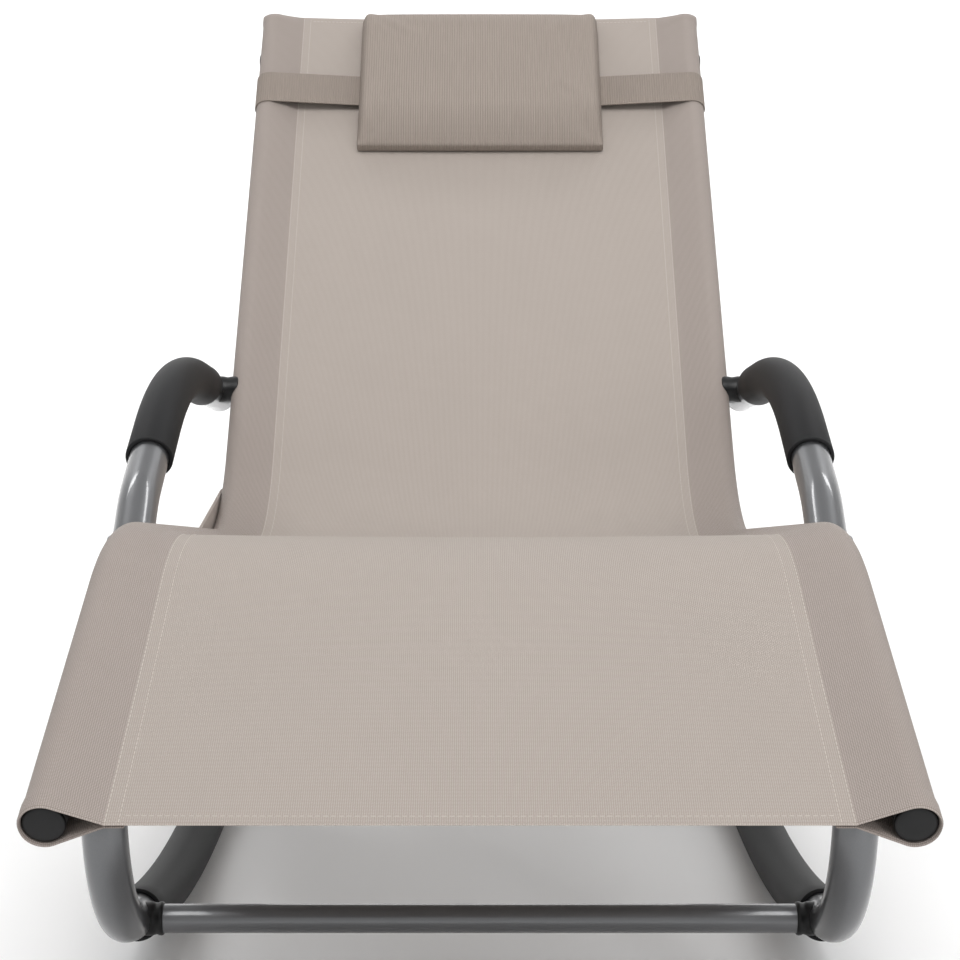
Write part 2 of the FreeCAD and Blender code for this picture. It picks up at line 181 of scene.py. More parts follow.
# Strap: it turns round the rail outside the sleeve, and starts at the pillow's side as (across, up)
STRAP_WIDTH = 0.046
STRAP_LOW = 0.150
STRAP_CLOTH = 0.0011
STRAP_RADIUS = RAIL_RADIUS + 0.0017 + STRAP_CLOTH / 2
STRAP_START = (PILLOW_WIDTH / 2 - 0.003, 0.007)

# Pocket: its cloth, and how full it stands at the rim and lower down
POCKET_CLOTH = 0.0009
POCKET_TAUT = 0.0016
POCKET_FULL = 0.0175
POCKET_RISE = 0.007
POCKET_CLOSE = 0.10
RIM_FOLD = 0.012
RIM_ROW = 0.008

# Studio: the floor's rear edge and sweep, and where the lamps look
FLOOR_REAR = 4.0
BACKDROP = 6.0
SWEEP = 2.2
CHAIR_MIDDLE = (0, 0, 0.35)


def clear_selection():
    """Leaves edit mode, with nothing selected."""
    if bpy.context.object and bpy.context.object.mode != "OBJECT":
        bpy.ops.object.mode_set(mode="OBJECT")
    bpy.ops.object.select_all(action="DESELECT")


def pick(piece):
    """The piece alone is selected and active."""
    clear_selection()
    piece.select_set(True)
    bpy.context.view_layer.objects.active = piece
    return piece


def settle(piece):
    """Place, turn and size go into the mesh."""
    pick(piece)
    bpy.ops.object.transform_apply(location=True, rotation=True, scale=True)
    return piece


def apply_modifiers(piece):
    """The modifiers' shape goes into the mesh."""
    pick(piece)
    for modifier in list(piece.modifiers):
        bpy.ops.object.modifier_apply(modifier=modifier.name)
    return piece


def smooth(piece, angle=40):
    """Shades the piece smooth, apart from edges sharper than the angle."""
    pick(piece)
    bpy.ops.object.shade_smooth_by_angle(angle=math.radians(angle))
    return piece


def faces_out(piece):
    """Merges doubled points and turns all faces outwards."""
    pick(piece)
    bpy.ops.object.mode_set(mode="EDIT")
    bpy.ops.mesh.select_all(action="SELECT")
    bpy.ops.mesh.remove_doubles(threshold=0.00001)
    bpy.ops.mesh.normals_make_consistent(inside=False)
    bpy.ops.object.mode_set(mode="OBJECT")
    return piece


def across(point):
    """The same point on the sitter's right."""
    return Vector((-point.x, point.y, point.z))


# Lines of the frame


def along(angle):
    """Unit vector in the side view, heading rearwards and up by an angle."""
    turn = math.radians(angle)
    return Vector((0, math.cos(turn), math.sin(turn)))


def at_x(point, x):
    """A point of the side view at its distance from the middle plane."""
    return Vector((x, point.y, point.z))


def meet(p, p_angle, q, q_angle):
    """Where two lines of the side view cross."""
    u = along(p_angle)
    v = along(q_angle)
    gap = q - p
    return p + u * ((gap.y * v.z - gap.z * v.y) / (u.y * v.z - u.z * v.y))


def reach_of_run(length, angle):
    """How far a run and the rounded end of its sleeve reach level."""
    return along(angle).y * (length + SLING_OVER) + along(angle).z * SLEEVE_OUTSIDE


def rail_stations():
    """Foot end, knee, seat corner and head end of a rail's line; both ends reach equally far."""
    ahead = along(THIGH_FALL).y * THIGH_RUN + reach_of_run(LEG_RUN, LEG_RISE)
    seat = Vector((0, (ahead - reach_of_run(BACK_RUN, BACK_RISE)) / 2, SEAT_HEIGHT))
    knee = seat - along(-THIGH_FALL) * THIGH_RUN
    return knee - along(LEG_RISE) * LEG_RUN, knee, seat, seat + along(BACK_RISE) * BACK_RUN


FOOT_END, KNEE, SEAT, HEAD_END = rail_stations()


def loop_stations():
    """Corners of a loop's line, from the arm's tail to the riser's top, and its joints at the rail."""
    arm = SEAT + along(BACK_RISE) * ARM_JOINT_RUN
    tail = arm + along(-ARM_FALL) * ARM_TAIL
    shoulder = arm - along(-ARM_FALL) * ARM_RUN
    elbow = shoulder - along(ELBOW_RISE) * ELBOW_RUN
    leg = meet(elbow, FRONT_LEG_RISE, SEAT, -THIGH_FALL)
    centre = Vector((0, SEAT.y - RUNNER_LOW_AHEAD, FOAM_RADIUS - SOLE_FLAT + RUNNER_RADIUS))
    front = centre + along(-90 - RUNNER_FRONT_ANGLE) * RUNNER_RADIUS
    rear = centre + along(-90 + RUNNER_REAR_ANGLE) * RUNNER_RADIUS
    toe = meet(elbow, FRONT_LEG_RISE, front, -RUNNER_FRONT_ANGLE)
    belly = meet(front, -RUNNER_FRONT_ANGLE, rear, RUNNER_REAR_ANGLE)
    stand_off = RAIL_RADIUS + RISER_GAP + LOOP_RADIUS
    lap = SEAT + along(BACK_RISE) * RISER_JOINT_RUN + along(BACK_RISE - 90) * stand_off
    riser_foot = lap - along(BACK_RISE) * RISER_FOOT_LAP
    heel = meet(riser_foot, RISER_HEADING, rear, RUNNER_REAR_ANGLE)
    riser_top = lap + along(BACK_RISE) * RISER_HALF_LAP
    return [tail, shoulder, elbow, toe, belly, heel, riser_foot, riser_top], arm, leg


def loop_corners(corners, leg):
    """The same corners at their distance from the middle plane."""
    arm_x = RAIL_X + RAIL_RADIUS + ARM_GAP + LOOP_RADIUS
    leg_x = RAIL_X + RAIL_RADIUS + LEG_GAP + LOOP_RADIUS
    shoulder_x = leg_x + SHOULDER_OUT
    tail_x = arm_x + (arm_x - shoulder_x) * ARM_TAIL / ARM_RUN
    elbow, toe = corners[2:4]
    toe_x = shoulder_x + (leg_x - shoulder_x) * (toe - elbow).length / (leg - elbow).length
    runner_x, heel_x = RAIL_X + RUNNER_TOE_IN, RAIL_X + HEEL_TOE_IN
    places = (tail_x, shoulder_x, shoulder_x, toe_x, runner_x, heel_x, RAIL_X, RAIL_X)
    return [at_x(corner, x) for corner, x in zip(corners, places)]


SIDE_VIEW, ARM_JOINT, LEG_JOINT = loop_stations()
LOOP = loop_corners(SIDE_VIEW, LEG_JOINT)


def rail_joint(start, angle, run):
    """A point along a run of the left rail, and the way down square to it."""
    return at_x(start + along(angle) * run, RAIL_X), along(angle - 90)


# Joints: point on the rail's axis, direction away from it, radius of the other tube, gap between the two
CROSS = (CROSS_RADIUS, CROSS_GAP)
RISER = (LOOP_RADIUS, RISER_GAP)
OUTWARD = Vector((1, 0, 0))
JOINTS = {
    "foot": (*rail_joint(FOOT_END, LEG_RISE, FOOT_TUBE_INSET), *CROSS),
    "knee": (*rail_joint(KNEE, -THIGH_FALL, KNEE_TUBE_RUN), *CROSS),
    "head": (*rail_joint(HEAD_END, BACK_RISE, -HEAD_TUBE_INSET), *CROSS),
    "low_riser": (*rail_joint(SEAT, BACK_RISE, RISER_JOINT_RUN - RISER_BOLT_PITCH / 2), *RISER),
    "high_riser": (*rail_joint(SEAT, BACK_RISE, RISER_JOINT_RUN + RISER_BOLT_PITCH / 2), *RISER),
    "arm": (at_x(ARM_JOINT, RAIL_X), OUTWARD, LOOP_RADIUS, ARM_GAP),
    "leg": (at_x(LEG_JOINT, RAIL_X), OUTWARD, LOOP_RADIUS, LEG_GAP),
}


def joined_axis(name):
    """Point on the other tube's axis at a joint with the rail."""
    point, away, radius, gap = JOINTS[name]
    return point + away * (RAIL_RADIUS + gap + radius)


def cross_tube_end(name):
    """Left end of a cross tube's axis."""
    return at_x(joined_axis(name), RAIL_X + CROSS_OVERHANG)


# Finishes


class Value:
    """A node's output; a sum or product with it adds a Math node."""

    def __init__(self, finish, socket):
        self.finish = finish
        self.socket = socket

    def math(self, operation, *others):
        return self.finish.node("ShaderNodeMath", {"operation": operation}, [self, *others])

    def __add__(self, other):
        return self.math("ADD", other)

    def __mul__(self, other):
        return self.math("MULTIPLY", other)


class Finish:
    """A material and its shader tree."""

    def __init__(self, name, colour, roughness, specular=0.5, metallic=0.0):
        self.material = bpy.data.materials.new(name)
        self.material.use_nodes = True
        self.tree = self.material.node_tree
        self.shader = self.tree.nodes["Principled BSDF"]
        self.feed(self.shader.inputs["Base Color"], colour)
        self.feed(self.shader.inputs["Roughness"], roughness)
        self.feed(self.shader.inputs["Specular IOR Level"], specular)
        self.feed(self.shader.inputs["Metallic"], metallic)

    def feed(self, socket, value):
        if isinstance(value, Value):
            self.tree.links.new(value.socket, socket)
        elif isinstance(value, tuple) and len(value) == 3 and len(socket.default_value) == 4:
            socket.default_value = (*value, 1.0)
        else:
            socket.default_value = value

    def node(self, kind, settings=None, inputs=(), output=0):
        node = self.tree.nodes.new(kind)
        for name, value in (settings or {}).items():
            setattr(node, name, value)
        pairs = inputs.items() if isinstance(inputs, dict) else enumerate(inputs)
        for name, value in pairs:
            self.feed(node.inputs[name], value)
        return Value(self, node.outputs[output])

    def coordinates(self, kind):
        return self.node("ShaderNodeTexCoord", output=kind)

    def parts(self, vector):
        outputs = self.node("ShaderNodeSeparateXYZ", {}, [vector]).socket.node.outputs
        return [Value(self, outputs[axis]) for axis in "XYZ"]

    def blend(self, mask, first, second, mode="MIX"):
        settings = {"data_type": "RGBA", "blend_type": mode}
        return self.node("ShaderNodeMix", settings, {0: mask, 6: first, 7: second}, 2)

    def noise(self, vector, scale, detail=3.0):
        return self.node("ShaderNodeTexNoise", {}, {"Vector": vector, "Scale": scale, "Detail": detail})

    def colour(self, value):
        self.feed(self.shader.inputs["Base Color"], value)

    def rough(self, value):
        self.feed(self.shader.inputs["Roughness"], value)

    def relief(self, height, distance, strength=1.0):
        bump = self.node("ShaderNodeBump", {}, {"Strength": strength, "Distance": distance, "Height": height})
        self.tree.links.new(bump.socket, self.shader.inputs["Normal"])


def linear(red, green, blue):
    """An 8-bit display colour as the shader's linear colour."""
    def channel(value):
        share = value / 255
        return share / 12.92 if share <= 0.04045 else ((share + 0.055) / 1.055) ** 2.4
    return channel(red), channel(green), channel(blue)


def swing(value, pitch):
    """Up and down by turns, for every pitch of the value."""
    return (value * (math.pi / pitch)).math("SINE")


def wave(value, pitch):
    """A rounded ridge for every pitch of the value."""
    return swing(value, pitch).math("ABSOLUTE")


def sling_finish():
    """Plain weave of coated yarns, with painted shade in the gaps between the yarns; the sleeves are darker,
    with the seam as the border.
    """
    cloth = Finish("sling_mesh", linear(190, 180, 171), 0.62, specular=0.25)
    place = cloth.coordinates("UV")
    u, v, _ = cloth.parts(place)
    sway = swing(u, YARN_PITCH) * swing(v, YARN_PITCH)
    yarn = wave(u, YARN_PITCH) * wave(v, YARN_PITCH)
    sleeve = u.math("ABSOLUTE").math("GREATER_THAN", SEAM + 0.0005)
    body = cloth.blend(sleeve, linear(178, 169, 162), linear(170, 160, 154))
    # gap is the colour between the yarns: painted shade in the weave's gaps, darker still on the sleeves
    gap = cloth.blend(sleeve, linear(142, 132, 124), linear(124, 114, 107))
    shade = cloth.blend(yarn.math("POWER", 0.6), gap, body)
    mottle = cloth.noise(place, 9.0, 4.0)
    tone = cloth.blend(mottle * 0.5 + 0.25, linear(246, 246, 246), linear(255, 255, 255))
    cloth.colour(cloth.blend(1.0, shade, tone, "MULTIPLY"))
    cloth.relief(yarn * (sway * 0.25 + 0.75), 0.0004, 0.9)
    return cloth.material


def ribbed_finish(name, colour, ribs_up=True):
    """Woven cloth with fine ribs up the back, or else across it, and faint streaks up the back; painted shade
    darkens the grooves between the ribs and painted light brightens their ridges.
    """
    cloth = Finish(name, colour, 0.75, specular=0.2)
    place = cloth.coordinates("Object")
    x, y, z = cloth.parts(place)
    back = along(BACK_RISE)
    up_back = y * back.y + z * back.z
    if ribs_up:
        rib, pick_yarn = wave(x, 0.0027), wave(up_back, 0.0011)
    else:
        rib, pick_yarn = wave(up_back, 0.0016), wave(x, 0.0012)
    narrowed = cloth.node("ShaderNodeMapping", {}, {"Vector": place, "Scale": (9.0, 1.0, 1.0)})
    streak = cloth.noise(narrowed, 40.0, 2.0)
    # dark and light: painted shade in the rib grooves and painted light on the rib ridges, mixed with the
    # streaks' own random tone
    dark = tuple(channel * 0.86 for channel in colour)
    light = tuple(min(1.0, channel * 1.08) for channel in colour)
    cloth.colour(cloth.blend(rib * 0.35 + streak * 0.6, dark, light))
    cloth.relief(rib * 0.8 + pick_yarn * 0.3, 0.0005, 0.8)
    return cloth.material


def steel_finish():
    """Grey metallic powder coat on the loops and bars."""
    steel = Finish("frame_steel", linear(104, 105, 107), 0.30, metallic=0.85)
    place = steel.coordinates("Object")
    fleck = steel.noise(place, 2600.0, 2.0)
    steel.rough(fleck * 0.10 + 0.32)
    steel.colour(steel.blend(fleck, linear(94, 95, 97), linear(118, 119, 121)))
    steel.shader.inputs["Coat Weight"].default_value = 0.8
    steel.shader.inputs["Coat Roughness"].default_value = 0.09
    steel.relief(steel.noise(place, 900.0, 3.0), 0.00004, 0.3)
    return steel.material


def foam_finish():
    """Charcoal foam with open pores, painted darker where they sink as painted shade."""
    foam = Finish("foam", linear(30, 30, 31), 0.6, specular=0.14)
    place = foam.coordinates("Object")
    pore = foam.noise(place, 1500.0, 4.0)
    # Painted shade: the colour darkens with the pores' depth, following the same noise as the relief.
    foam.colour(foam.blend(pore, linear(22, 22, 23), linear(40, 40, 41)))
    foam.rough(pore * 0.2 + 0.45)
    foam.relief(pore, 0.0002, 0.5)
    return foam.material


def plastic_finish():
    """Matte black moulded plastic."""
    plastic = Finish("black_plastic", linear(11, 11, 12), 0.45, specular=0.3)
    grain = plastic.noise(plastic.coordinates("Object"), 1800.0, 2.0)
    plastic.rough(grain * 0.15 + 0.35)
    plastic.relief(grain, 0.00008, 0.4)
    return plastic.material


def zinc_finish():
    """Cloudy zinc plating on the bolts."""
    zinc = Finish("bolt_steel", linear(150, 152, 155), 0.3, metallic=1.0)
    cloud = zinc.noise(zinc.coordinates("Object"), 300.0, 3.0)
    zinc.rough(cloud * 0.2 + 0.22)
    return zinc.material


def thread_finish():
    """Twisted thread, a little lighter than the sling."""
    thread = Finish("thread", linear(184, 175, 168), 0.7)
    twist = thread.noise(thread.coordinates("Object"), 3000.0, 1.0)
    thread.rough(twist * 0.2 + 0.5)
    return thread.material


def floor_finish():
    """Matte pale paint."""
    floor = Finish("floor", (0.86, 0.86, 0.86), 0.7)
    floor.rough(floor.noise(floor.coordinates("Object"), 6.0, 2.0) * 0.1 + 0.6)
    return floor.material


FINISHES = {
    "sling": sling_finish(),
    "pillow": ribbed_finish("pillow_cloth", linear(141, 131, 123)),
    "strap": ribbed_finish("strap_cloth", linear(134, 124, 116)),
    "pocket": ribbed_finish("pocket_cloth", linear(182, 172, 165), ribs_up=False),
    "steel": steel_finish(),
    "foam": foam_finish(),
    "plastic": plastic_finish(),
    "zinc": zinc_finish(),
    "thread": thread_finish(),
    "floor": floor_finish(),
}


def dress(piece, finish, body, slot, *nodes):
    """Finish, body and the CAD nodes that the piece stands for; the material slot is not used."""
    piece.data.materials.clear()
    piece.data.materials.append(FINISHES[finish])
    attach(piece, body)
    if nodes:
        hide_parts(*nodes)
    return piece


# Lines with rounded corners


def bend_of(a, b, c, radius):
    """Start, centre, axis and angle of the arc that rounds corner b."""
    u = (a - b).normalized()
    v = (c - b).normalized()
    half = u.angle(v) / 2
    start = b + u * (radius / math.tan(half))
    centre = b + (u + v).normalized() * (radius / math.sin(half))
    return start, centre, (-u).cross(v).normalized(), math.pi - 2 * half


def route(corners, radii):
    """Legs of a line: length, start, heading, axis and radius of each run or bend."""
    legs = []
    place = corners[0]
    for a, b, c, radius in zip(corners, corners[1:], corners[2:], radii):
        start, centre, axis, angle = bend_of(a, b, c, radius)
        heading = (b - a).normalized()
        legs.append(((start - place).length, place, heading, None, 0.0))
        legs.append((angle * radius, start, heading, axis, radius))
        place = centre + Quaternion(axis, angle) @ (start - centre)
    legs.append(((corners[-1] - place).length, place, (corners[-1] - place).normalized(), None, 0.0))
    return legs


def route_length(legs):
    """Length of a line from end to end."""
    return sum(leg[0] for leg in legs)


def runner_seat(share):
    """Point and heading of the runner's long arc at its front (0) or rear (1) end."""
    start, centre, axis, angle = bend_of(*LOOP[3:6], RUNNER_RADIUS)
    turn = Quaternion(axis, angle * share)
    return centre + turn @ (start - centre), turn @ (LOOP[4] - LOOP[3]).normalized()


RUNNER_SEATS = [runner_seat(share) for share in (0.0, 1.0)]


def station(legs, run):
    """Point and heading at a distance along the line."""
    for leg in legs:
        length, start, heading, axis, radius = leg
        if run <= length or leg is legs[-1]:
            if axis is None:
                return start + heading * run, heading.copy()
            turn = Quaternion(axis, run / radius)
            centre = start + axis.cross(heading) * radius
            return centre + turn @ (start - centre), turn @ heading
        run -= length


def draw_out(run):
    """Extrudes the selected rim, unless the run is too short to show."""
    if run.length > 0.0005:
        bpy.ops.mesh.extrude_edges_move(TRANSFORM_OT_translate={"value": run})


def bent_bar(name, corners, radii, radius, sides, degrees):
    """A round bar skin along a line: a circle drawn out along the runs and spun round the bends."""
    clear_selection()
    heading = (corners[1] - corners[0]).normalized()
    turn = heading.to_track_quat("Z", "Y").to_euler()
    bpy.ops.mesh.primitive_circle_add(vertices=sides, radius=radius, location=corners[0], rotation=turn)
    piece = bpy.context.object
    piece.name = name
    piece.data.name = name
    settle(piece)
    bpy.ops.object.mode_set(mode="EDIT")
    bpy.ops.mesh.select_all(action="SELECT")
    place = corners[0]
    for a, b, c, bend_radius in zip(corners, corners[1:], corners[2:], radii):
        start, centre, axis, angle = bend_of(a, b, c, bend_radius)
        draw_out(start - place)
        steps = max(3, round(math.degrees(angle) / degrees))
        bpy.ops.mesh.spin(steps=steps, angle=-angle, center=centre, axis=axis)
        place = centre + Quaternion(axis, angle) @ (start - centre)
    draw_out(corners[-1] - place)
    bpy.ops.object.mode_set(mode="OBJECT")
    return faces_out(piece)


def thicken(piece, thickness, offset=0.0):
    """Gives a skin its thickness: to both sides, or inwards with an offset of -1."""
    wall = piece.modifiers.new("wall", "SOLIDIFY")
    wall.thickness = thickness
    wall.offset = offset
    return piece


def tube(name, corners, radii, radius, wall, sides=48):
    """A tube with open ends; its wall is inside the skin."""
    piece = bent_bar(name, corners, radii, radius, sides, 3.0)
    return smooth(apply_modifiers(thicken(piece, wall, -1.0)))


def mirrored(piece, name):
    """A copy on the sitter's right, with its own mesh."""
    pick(piece)
    bpy.ops.object.duplicate()
    copy = bpy.context.object
    copy.name = name
    copy.data.name = name
    copy.scale = (-1, 1, 1)
    settle(copy)
    bpy.ops.object.mode_set(mode="EDIT")
    bpy.ops.mesh.select_all(action="SELECT")
    bpy.ops.mesh.flip_normals()
    bpy.ops.object.mode_set(mode="OBJECT")
    return copy


def joined(pieces, name):
    """The pieces as one, under a name."""
    if len(pieces) > 1:
        pick(pieces[0])
        for piece in pieces[1:]:
            piece.select_set(True)
        bpy.ops.object.join()
    pieces[0].name = name
    pieces[0].data.name = name
    return pieces[0]


# Steel frame


def make_loops():
    left = tube("left_loop_tube", LOOP, LOOP_BENDS, LOOP_RADIUS, WALL)
    right = mirrored(left, "right_loop_tube")
    dress(left, "steel", "frame", "frame_steel", "side_loop_left")
    dress(right, "steel", "frame", "frame_steel", "side_loop_right")


def rail_corners(x, extra=0.0):
    """The rail's line at a distance from the middle plane, longer by extra at both ends."""
    foot = (FOOT_END - KNEE).normalized()
    head = (HEAD_END - SEAT).normalized()
    side = Vector((x, 0, 0))
    return [FOOT_END + foot * extra + side, KNEE + side, SEAT + side, HEAD_END + head * extra + side]


def make_rails():
    corners = rail_corners(RAIL_X)
    corners[-1] -= (HEAD_END - SEAT).normalized() * HEAD_SHORT
    left = tube("left_rail_tube", corners, [RAIL_BEND] * 2, RAIL_RADIUS, WALL, 32)
    right = mirrored(left, "right_rail_tube")
    dress(left, "steel", "frame", "frame_steel", "seat_rail_left")
    dress(right, "steel", "frame", "frame_steel", "seat_rail_right")


def make_bars():
    for name, (seat, _) in zip(("front_crossbar", "rear_crossbar"), RUNNER_SEATS):
        end = seat - OUTWARD * (LOOP_RADIUS + BAR_WEB)
        bar = tube(name + "_tube", [across(end), end], [], BAR_RADIUS, WALL)
        dress(bar, "steel", "frame", "frame_steel", name)
    for name in CROSS_TUBES:
        end = cross_tube_end(name)
        bar = tube(name + "_cross_tube_skin", [across(end), end], [], CROSS_RADIUS, CROSS_WALL, 32)
        dress(bar, "steel", "frame", "frame_steel", name + "_cross_tube")


# Foam


def foam_sleeve(name, corners, radii):
    """A foam tube with softly rounded end edges."""
    piece = bent_bar(name, corners, radii, FOAM_RADIUS, 56, 1.5)
    thicken(piece, FOAM_RADIUS - LOOP_RADIUS - FOAM_FIT, -1.0)
    soft = piece.modifiers.new("edge", "BEVEL")
    soft.width = FOAM_EDGE
    soft.segments = 3
    soft.limit_method = "ANGLE"
    soft.angle_limit = math.radians(60)
    apply_modifiers(piece)
    return smooth(piece)


def make_foam():
    arm, shoulder, elbow = joined_axis("arm"), LOOP[1], LOOP[2]
    back = arm + (shoulder - arm).normalized() * GRIP_BACK_GAP
    front = shoulder + (elbow - shoulder).normalized() * GRIP_FRONT_RUN
    grip = foam_sleeve("left_grip", [back, shoulder, front], [LOOP_BENDS[0]])
    runner = foam_sleeve("left_runner_foam", runner_foam_line(), [RUNNER_RADIUS])
    for vertex in runner.data.vertices:
        vertex.co.z = max(vertex.co.z, 0.0)
    pairs = [
        (grip, mirrored(grip, "right_grip"), "arm_grips"),
        (runner, mirrored(runner, "right_runner_foam"), "runner_sleeves"),
    ]
    for left, right, node in pairs:
        for piece in (left, right):
            dress(piece, "foam", "frame", "foam", node)


def runner_foam_line():
    """Corners of the foam's stretch of the runner."""
    legs = route(LOOP[3:6], [RUNNER_RADIUS])
    arc_length = legs[1][0]
    begin = legs[0][0]
    first, first_heading = station(legs, begin + SLEEVE_START_INSET)
    last, _ = station(legs, begin + arc_length - SLEEVE_END_INSET)
    gap = last - first
    reach = gap.length / 2 / math.cos(first_heading.angle(gap))
    return [first, first + first_heading * reach, last]


# Sling


SLING_LINE = route(rail_corners(0.0, SLING_OVER), [RAIL_BEND] * 2)
SLING_LENGTH = route_length(SLING_LINE)
KNEE_RUN = SLING_LINE[0][0] + SLING_LINE[1][0] / 2


def side_view(legs, run):
    """Point, heading and upward normal of the sling's line at a distance from the foot hem."""
    place, heading = station(legs, run)
    return place, heading, Vector((0, -heading.z, heading.y))


def rounded(share):
    """Height of a quarter circle at a share of its radius."""
    share = min(1.0, max(0.0, share))
    return math.sqrt(1 - (1 - share) ** 2)


def sheet_lift(run):
    """How far the seams lie above the rails' axes: the knee bend draws them up."""
    return FOOT_LIFT * (1 - run / SLING_LENGTH) + KNEE_LIFT * math.exp(-((run - KNEE_RUN) / KNEE_REACH) ** 2)


def sheet_sag(x, run):
    """How far the cloth hangs below the line between its seams."""
    slack = MIDDLE_SAG * math.sin(math.pi * run / SLING_LENGTH) ** 0.5
    slack += HEAD_SAG * math.exp((run - SLING_LENGTH) / HEAD_SAG_REACH)
    return slack * max(0.0, 1 - (x / SEAM) ** 2)


def hem_share(run):
    """1 where the cloth is doubled by an end hem, 0 further in."""
    inward = min(run, SLING_LENGTH - run)
    return min(1.0, max(0.0, (HEM_END - inward) / (HEM_END - HEM_FULL)))


def layer_gap(run):
    """Distance between the two layers beside a seam, wider where an end hem lies between them."""
    return LAYER_GAP * (1 + 2 * hem_share(run))


def between(first, last, shares):
    """Points on the line from the first point to the last."""
    return [(first[0] + (last[0] - first[0]) * share, first[1] + (last[1] - first[1]) * share)
            for share in shares]


def half_section(run):
    """The sling's section from its middle round one rail to the hem under it, as (across, up).

    From the seam the cloth runs straight to the rail and touches the ring round it. At the head the ring is
    pressed flat, where the sleeve is sewn shut.
    """
    lift = sheet_lift(run)
    gap = layer_gap(run)
    radius = SLEEVE_RADIUS + LAYER_GAP * hem_share(run)
    toward = math.pi - math.atan2(lift, RAIL_X - SEAM)
    spread = math.acos(radius / math.hypot(RAIL_X - SEAM, lift))
    open_share = rounded((SLING_LENGTH - run) / HEAD_CLOSE)
    ring = []
    for angle in np.linspace(toward - spread, toward + spread - 2 * math.pi, 27):
        level = radius * math.sin(angle) * open_share
        if angle < 0:
            level -= gap * (1 - open_share)
        ring.append((RAIL_X + radius * math.cos(angle), level))
    points = [(x, lift - sheet_sag(x, run)) for x in (*np.linspace(0.0, MIDDLE_HALF, 25), *SEAM_SIDE, SEAM)]
    points += between((SEAM, lift), ring[0], np.linspace(0, 1, 6)[1:-1])
    points += ring
    points += between((SEAM, lift - gap), ring[-1], np.linspace(1, 0, 6)[1:])
    points += [(x, lift - sheet_sag(x, run) - gap) for x in (*reversed(SEAM_SIDE), HEM_UNDER)]
    return points


def sling_section(run):
    """Whole section, with each point's distance from the middle along the cloth and its normal."""
    half = half_section(run)
    whole = [(-x, up) for x, up in reversed(half[1:])] + half
    steps = [math.dist(a, b) for a, b in zip(whole, whole[1:])]
    runs = np.concatenate([[0.0], np.cumsum(steps)])
    runs -= runs[len(half) - 1]
    normals = []
    for index in range(len(whole)):
        before = whole[max(index - 1, 0)]
        after = whole[min(index + 1, len(whole) - 1)]
        dx, dup = after[0] - before[0], after[1] - before[1]
        size = math.hypot(dx, dup)
        normals.append((-dup / size, dx / size))
    return whole, runs, normals


def grid_mesh(name, rows, widths, lengths, closed=False):
    """A sheet from rows of points, with a UV map in metres; closed rows run round a bag."""
    count = len(rows[0])
    vertices = [point for row in rows for point in row]
    faces = []
    for r in range(len(rows) - 1):
        for c in range(count if closed else count - 1):
            a = r * count + c
            b = r * count + (c + 1) % count
            faces.append((a, b, b + count, a + count))
    mesh = bpy.data.meshes.new(name)
    mesh.from_pydata(vertices, [], faces)
    weave = mesh.uv_layers.new(name="weave")
    for loop in mesh.loops:
        r, c = divmod(loop.vertex_index, count)
        weave.data[loop.index].uv = (widths[c], lengths[r])
    piece = bpy.data.objects.new(name, mesh)
    bpy.context.collection.objects.link(piece)
    return piece


def made_cloth(piece, thickness):
    """A sheet's thickness, half to each side, with smooth shading."""
    return smooth(apply_modifiers(thicken(piece, thickness)), 60)


def make_sling():
    """One sheet: hem fold, face and hem fold in rows of (run, inset), each a section of the sling."""
    inner = list(np.linspace(0.004, SLING_LENGTH - HEM_END, round(SLING_LENGTH / PITCH)))
    inner += [SLING_LENGTH - rest for rest in HEAD_ROWS]
    fold = [(FOLD, LAYER_GAP), (FOLD / 2, LAYER_GAP), (FOLD_EDGE, LAYER_GAP)]
    fold += [(0.0, LAYER_GAP / 2), (FOLD_EDGE, 0.0)]
    rows = fold + [(run, 0.0) for run in inner]
    rows += [(SLING_LENGTH - run, inset) for run, inset in reversed(fold)]
    points = []
    lengths = []
    for index, (run, inset) in enumerate(rows):
        place, _, up = side_view(SLING_LINE, run)
        section, widths, normals = sling_section(run)
        points.append([place + Vector((x - nx * inset, 0, 0)) + up * (height - nup * inset)
                       for (x, height), (nx, nup) in zip(section, normals)])
        lengths.append(run if inset == 0.0 else (-run if index < len(fold) else 2 * SLING_LENGTH - run))
    sling = grid_mesh("sling_cloth", points, widths, lengths)
    flat_width = widths[-1] - widths[0]
    made_cloth(sling, CLOTH)
    dress(sling, "sling", "frame", "sling_mesh", "sling")
    stitches = sewn("sling_stitching", sling_stitches())
    SLING_LENGTH + 2 * FOLD


def stitch_shape():
    """One stitch: a low rounded bar of thread."""
    clear_selection()
    bpy.ops.mesh.primitive_cube_add(size=1.0, scale=STITCH)
    stitch = settle(bpy.context.object)
    edge = stitch.modifiers.new("edge", "BEVEL")
    edge.width = 0.0002
    edge.segments = 1
    apply_modifiers(stitch)
    points = np.array([vertex.co for vertex in stitch.data.vertices])
    faces = [tuple(face.vertices) for face in stitch.data.polygons]
    bpy.data.objects.remove(stitch)
    return points, faces


def sling_stitches():
    """Two rows along each sleeve's seam and one along each hem, on both faces."""
    places = []

    def sew(x, run, heading=None):
        place, line, up = side_view(SLING_LINE, run)
        level = sheet_lift(run) - sheet_sag(x, run)
        under = layer_gap(run) if abs(x) > HEM_UNDER else LAYER_GAP
        for height in (level + CLOTH / 2, level - under - CLOTH / 2):
            places.append((place + Vector((x, 0, 0)) + up * height, heading or line, up))

    for x in SEAM_ROWS:
        for run in np.arange(ROW_ENDS, SLING_LENGTH - ROW_ENDS, STITCH_PITCH):
            sew(x, run)
    for run in (HEM_ROW, SLING_LENGTH - HEM_ROW):
        for x in np.arange(-MIDDLE_HALF, MIDDLE_HALF + 0.0005, STITCH_PITCH):
            sew(x, run, Vector((1, 0, 0)))
    return places


